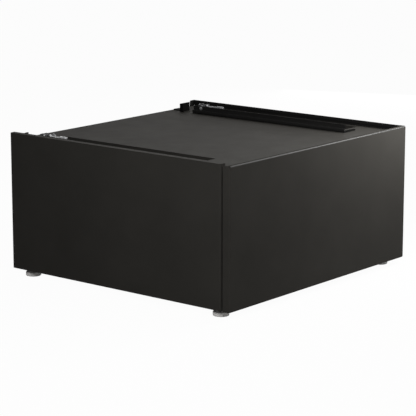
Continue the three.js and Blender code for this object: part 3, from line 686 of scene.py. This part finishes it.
def footPad(corner):
    # The pad's rim carries shallow grip notches: the radius is lowered by the cube of a
    # cosine of the angle on the rim's rows only. A low neck rises from it to the stud.
    centre, radius, height = standingOn("foot_pad_" + corner)
    wide, inset, tall, rise = np.array(foot["profile"], float).T
    profile = np.stack([radius * wide - inset, height * tall + rise], -1)
    onRim = np.zeros(len(profile))
    onRim[slice(*foot["rimRows"])] = 1.0

    def ripple(row, angle):
        notch = (0.5 - 0.5 * np.cos(foot["lobes"] * angle)) ** 3
        return 1 - foot["lobeDepth"] * onRim[row] * notch

    pad = turned(profile, foot["steps"], ripple) + centre
    settle(pieceFromGrids("footPad_" + corner, [(pad, False, True)]), "foot_" + corner,
           "white_nylon", ["foot_pad_" + corner])


def footStud(corner):
    # a threaded rod that fills the node's box
    centre, radius, height = standingOn("foot_stud_" + corner)
    rod = threadedRod(radius, foot["threadPitch"], foot["threadDepth"], height) + centre
    settle(pieceFromGrids("footStud_" + corner, [(rod, False, True)]), "foot_" + corner,
           "zinc", ["foot_stud_" + corner])


def lockNut(corner):
    # a hexagon nut of the node's height, bored to clear the stud
    centre, _, height = standingOn("foot_lock_nut_" + corner)
    bore = standingOn("foot_stud_" + corner)[1] + foot["nutClearance"]
    nut = hexNut(foot["nutAcross"], height, bore) + centre
    settle(pieceFromGrids("footLockNut_" + corner, [(nut, True, True)]), "cabinet",
           "zinc", ["foot_lock_nut_" + corner])


for corner in ("front_left", "front_right", "rear_left", "rear_right"):
    footPad(corner)
    footStud(corner)
    lockNut(corner)
print("feet finished")


screw = {
    "head": 0.0016, "shankRadius": 0.002, "pitch": 0.0008, "depth": 0.0004, "chamfer": 0.0008,
    "steps": 14, "perTurn": 5,
}


def panHeadScrew(node, pieceName):
    # a head at the node's rear end, and its shank, a threaded rod, before it
    low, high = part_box(node)
    x, z = middle(node).x, middle(node).z
    head = screwHead((high.x - low.x) / 2, screw["head"])
    shank = threadedRod(screw["shankRadius"], screw["pitch"], screw["depth"],
                        high.y - low.y - screw["head"], screw["steps"], screw["perTurn"],
                        screw["chamfer"])
    grids = [(alongAxis(head, "y", (x, high.y - screw["head"], z)), False, True),
             (alongAxis(shank, "y", (x, low.y, z)), False, True)]
    settle(pieceFromGrids(pieceName, grids), bodies[node], "zinc", [node])


button = {
    "steps": 32,
    "profile": [    # shares of the radius and of the height
        (0, 0), (0.96, 0), (1, 0.15), (1, 0.55), (0.93, 0.85), (0.78, 1), (0.45, 1),
        (0.3, 0.85), (0, 0.8),
    ],
}


def bumper(node, pieceName):
    # a rubber button: a disc with a rounded rim and a shallow dimple in its face, turned
    # about Y
    low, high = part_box(node)
    profile = np.array(button["profile"]) * ((high.x - low.x) / 2, high.y - low.y)
    disc = alongAxis(turned(profile, button["steps"]), "y",
                     (middle(node).x, low.y, middle(node).z))
    settle(pieceFromGrids(pieceName, [(disc, False, True)]), bodies[node], "black_rubber", [node])


for place in ("lower_left", "lower_right", "upper_left", "upper_right"):
    panHeadScrew("front_screw_" + place, "frontScrew_" + place)
    panHeadScrew("rear_screw_" + place, "rearScrew_" + place)
    bumper("drawer_bumper_" + place, "bumper_" + place)
print("screws and bumpers finished")


holdDown = {
    "rodRadius": 0.0026, "pitch": 0.0010, "depth": 0.00045, "rodChamfer": 0.0009,
    "rodSteps": 18, "rodPerTurn": 5,
    "nutAcross": 0.00866, "nutHeight": 0.0047, "nutBore": 0.0022, "gap": 0.0001,
    "nutInset": 0.0035,                                   # from the clip's right end
    "sleeveLength": 0.024, "sleeveEnd": 0.0002, "sleeveGrooves": 9,
    "sleeveShare": 0.93, "grooveShare": 0.06,             # of the node's own radius
    "domePower": 12, "domeLeast": 0.3,                    # how squarely a sleeve ends
    "sleeveRows": 60, "boreRows": 8, "sleeveSteps": 28,
    "anchorAcross": 0.0102, "anchorNut": 0.0050, "washerHeight": 0.0015, "washerBore": 0.0029,
}


def holdDownRod(length):
    # the threaded rod that the clamps and the anchors share
    return threadedRod(holdDown["rodRadius"], holdDown["pitch"], holdDown["depth"], length,
                       holdDown["rodSteps"], holdDown["rodPerTurn"], holdDown["rodChamfer"])


def clampRod(end):
    # a threaded rod along X, with a hexagon head at its low end and a nut behind the clip
    node = "clip_rod_" + end
    low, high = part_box(node)
    y, z = middle(node).y, middle(node).z
    nut = hexNut(holdDown["nutAcross"], holdDown["nutHeight"], holdDown["nutBore"])
    spots = (low.x + holdDown["gap"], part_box("clip_" + end)[1].x - holdDown["nutInset"])
    grids = [(alongAxis(holdDownRod(high.x - low.x), "x", (low.x, y, z)), False, True)]
    grids += [(alongAxis(nut, "x", (x, y, z)), True, True) for x in spots]
    settle(pieceFromGrids("clampRod_" + end, grids), "cabinet", "zinc", [node])


def clampSleeve(end):
    # a sleeve on the rod's free end: its radius is a sine of the length, held under a
    # flat-topped dome that rounds both ends
    node = "clip_rod_" + end
    low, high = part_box(node)
    radius = min(high.z - low.z, high.y - low.y) / 2
    length = holdDown["sleeveLength"]
    along = np.linspace(0, 1, holdDown["sleeveRows"])
    wave = np.sin(2 * np.pi * holdDown["sleeveGrooves"] * along)
    swell = radius * (holdDown["sleeveShare"] + holdDown["grooveShare"] * wave)
    dome = 1 - (2 * along - 1) ** holdDown["domePower"]
    swell = np.minimum(swell, radius * np.sqrt(np.clip(dome, holdDown["domeLeast"], 1)))
    outer = np.stack([swell, along * length], -1)
    bore = np.linspace(length, 0, holdDown["boreRows"])
    inner = np.stack([np.full_like(bore, holdDown["rodRadius"] + holdDown["gap"]), bore], -1)
    start = (high.x - length - holdDown["sleeveEnd"], middle(node).y, middle(node).z)
    sleeve = turned(np.concatenate([outer, inner]), holdDown["sleeveSteps"])
    sleeve = alongAxis(sleeve, "x", start)
    settle(pieceFromGrids("clampSleeve_" + end, [(sleeve, True, True)]), "cabinet", "zinc")


def anchorStud(end):
    # a stud standing on the deck, with its washer and nut
    node = "anchor_stud_" + end
    at, radius, height = standingOn(node)
    washer = holdDown["washerHeight"]
    nut = hexNut(holdDown["anchorAcross"], holdDown["anchorNut"], holdDown["nutBore"])
    grids = [
        (ring(holdDown["washerBore"], radius, washer) + at, True, True),
        (nut + at + (0, 0, washer + holdDown["gap"]), True, True),
        (holdDownRod(height) + at, False, True),
    ]
    settle(pieceFromGrids("anchorStud_" + end, grids), "cabinet", "zinc", [node])


for end in ("front_left", "rear_left"):
    clampRod(end)
    clampSleeve(end)
    anchorStud(end)
# only the front rod and its sleeve have kept their shine
for name in ("clampRod_rear_left", "clampSleeve_rear_left", "anchorStud_front_left",
             "anchorStud_rear_left"):
    bpy.data.objects[name].data.materials[0] = dulledZinc
print("hold-downs finished")


studio = {
    "floorReach": 30.0, "floorColour": (0.60, 0.60, 0.60),
    "floorShare": 0.97,                         # of plain white, where the camera sees the floor
    "worldColour": (1.0, 1.0, 1.0), "worldLight": 0.14,
}


def seenDirectly(tree, links):
    # 1 for camera, glossy and transmission rays, and 0 for the others
    path = tree.new("ShaderNodeLightPath")
    seen = path.outputs["Is Camera Ray"]
    for kind in ("Is Glossy Ray", "Is Transmission Ray"):
        either = tree.new("ShaderNodeMath")
        either.operation = "MAXIMUM"
        links.new(seen, either.inputs[0])
        links.new(path.outputs[kind], either.inputs[1])
        seen = either.outputs[0]
    return seen


def makeFloor():
    # one flat square that keeps the object's shadow and is nearly white where it is seen
    reach = studio["floorReach"]
    corners = [(x * reach, y * reach, 0) for x, y in ((-1, -1), (1, -1), (1, 1), (-1, 1))]
    mesh = bpy.data.meshes.new("floor")
    mesh.from_pydata(corners, [], [(0, 1, 2, 3)])
    floor = bpy.data.objects.new("floor", mesh)
    bpy.context.scene.collection.objects.link(floor)
    finish, tree, links, shader = newFinish("paleFloor")
    tree.remove(shader)
    diffuse = tree.new("ShaderNodeBsdfDiffuse")
    diffuse.inputs["Color"].default_value = (*studio["floorColour"], 1)
    white = tree.new("ShaderNodeEmission")
    white.inputs["Strength"].default_value = 1.0
    share = tree.new("ShaderNodeMath")
    share.operation = "MULTIPLY"
    share.inputs[1].default_value = studio["floorShare"]
    links.new(seenDirectly(tree, links), share.inputs[0])
    mixed = tree.new("ShaderNodeMixShader")
    links.new(share.outputs[0], mixed.inputs["Fac"])
    links.new(diffuse.outputs[0], mixed.inputs[1])
    links.new(white.outputs[0], mixed.inputs[2])
    links.new(mixed.outputs[0], tree["Material Output"].inputs["Surface"])
    mesh.materials.append(finish)


def makeWorld():
    # white where it is seen, and only a little light on the object
    world = bpy.data.worlds.new("studio")
    world.use_nodes = True
    tree, links = world.node_tree.nodes, world.node_tree.links
    light = tree["Background"]
    light.inputs["Color"].default_value = (*studio["worldColour"], 1)
    level = tree.new("ShaderNodeMapRange")
    level.inputs["To Min"].default_value = studio["worldLight"]
    level.inputs["To Max"].default_value = 1.0
    links.new(seenDirectly(tree, links), level.inputs["Value"])
    links.new(level.outputs["Result"], light.inputs["Strength"])
    bpy.context.scene.world = world


bodyMiddle = (0.0, 0.0, 0.17)
lamps = {
    # name: (place, aimed at, size, watts)
    "keyLamp": ((0.90, -0.90, 0.86), bodyMiddle, 0.40, 5.4),
    "frontLamp": ((0.30, -1.20, 0.96), bodyMiddle, 0.40, 3.5),
    "sideLamp": ((0.52, 0.46, 0.55), bodyMiddle, 0.30, 4.8),
    "edgeLamp": ((0.50, 0.08, 0.60), (0.30, 0.12, 0.25), 0.30, 1.15),
    "rearLamp": ((-0.87, 0.87, 1.20), bodyMiddle, 0.80, 6.0),
    "backLamp": ((-1.15, 2.80, 0.25), bodyMiddle, 1.20, 22.0),
}


def makeLamps():
    for name, (place, aim, size, power) in lamps.items():
        data = bpy.data.lights.new(name, "AREA")
        data.shape = "SQUARE"
        data.size = size
        data.energy = power
        lamp = bpy.data.objects.new(name, data)
        bpy.context.scene.collection.objects.link(lamp)
        lamp.location = place
        lamp.visible_camera = False
        lamp.rotation_mode = "QUATERNION"
        back = Vector(place) - Vector(aim)
        lamp.rotation_quaternion = back.to_track_quat("Z", "Y")


view = {
    "place": (2.8535, -3.5109, 1.1179), "turn": 39.182, "pitch": 12.012,    # degrees
    "lens": 160.795, "sensor": 36.0, "farthest": 100.0,
}


def makeCamera():
    data = bpy.data.cameras.new("camera")
    data.sensor_width = view["sensor"]
    data.lens = view["lens"]
    data.clip_end = view["farthest"]
    camera = bpy.data.objects.new("camera", data)
    bpy.context.scene.collection.objects.link(camera)
    camera.location = view["place"]
    camera.rotation_euler = (math.radians(90 - view["pitch"]), 0, math.radians(view["turn"]))
    bpy.context.scene.camera = camera


makeFloor()
makeWorld()
makeLamps()
makeCamera()
bpy.context.scene.view_settings.view_transform = "Standard"
print("floor, lamps and camera placed")
